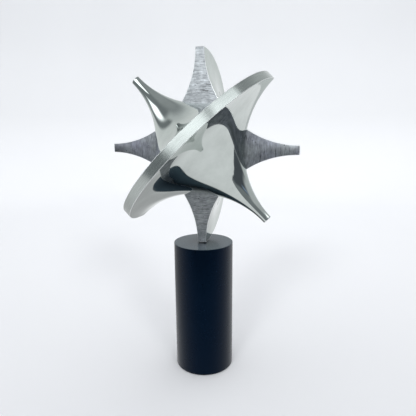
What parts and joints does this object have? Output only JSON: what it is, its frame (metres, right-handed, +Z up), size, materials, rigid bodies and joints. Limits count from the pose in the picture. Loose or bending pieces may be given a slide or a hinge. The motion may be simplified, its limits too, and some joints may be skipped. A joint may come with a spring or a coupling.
{
  "type": "desk sculpture",
  "caption": "Magnetic desk sculpture: polished aluminium half trumpets held face to face as a pointed star, turning on a pin in a black column.",
  "frame": {"origin": "centre of the felt pad's underside, on the column's axis", "axes": "+Z up along the column; the star's sawn faces lie in a plane across Y, with the front half on the -Y side; the back half's horns point along X"},
  "size_m": [0.2032, 0.2034, 0.3501],
  "materials": {
    "polished_aluminium": "mirror polished flanks, brushed rim, sawn face",
    "black_anodised": "satin black anodised",
    "steel": "turned",
    "cast_iron": "turned",
    "nickel_plate": "nickel plated",
    "brass": "turned",
    "bronze": "turned bearing bronze",
    "felt": "pressed wool felt"
  },
  "bodies": {
    "pedestal": {"column_shell": "black_anodised", "pivot_rod": "steel", "ballast_weight": "cast_iron", "base_plate": "steel", "rod_washer": "steel", "rod_nut": "steel", "felt_pad": "felt"},
    "star_back": {"back_half": "polished_aluminium", "swivel_sleeve": "bronze", "thrust_ball": "steel", "back_magnet_cup": "steel", "back_ring_magnet": "nickel_plate", "back_spacer_ring": "brass", "back_centre_bush": "brass"},
    "peg": {"centring_peg": "brass"},
    "star_front": {"front_half": "polished_aluminium", "front_magnet_cup": "steel", "front_ring_magnet": "nickel_plate", "front_spacer_ring": "brass", "front_centre_bush": "brass"}
  },
  "joints": [
    {"name": "star_swivel", "type": "hinge", "parent": "pedestal", "child": "star_back", "pos_m": [0, 0, 0.1469], "axis": [0, 0, 1], "continuous": true},
    {"name": "front_turn", "type": "hinge", "parent": "star_back", "child": "peg", "pos_m": [0, -0.006, 0.2485], "axis": [0, -1, 0], "continuous": true},
    {"name": "front_pull_off", "type": "slide", "parent": "peg", "child": "star_front", "axis": [0, -1, 0], "range_m": [0, 0.06]}
  ]
}
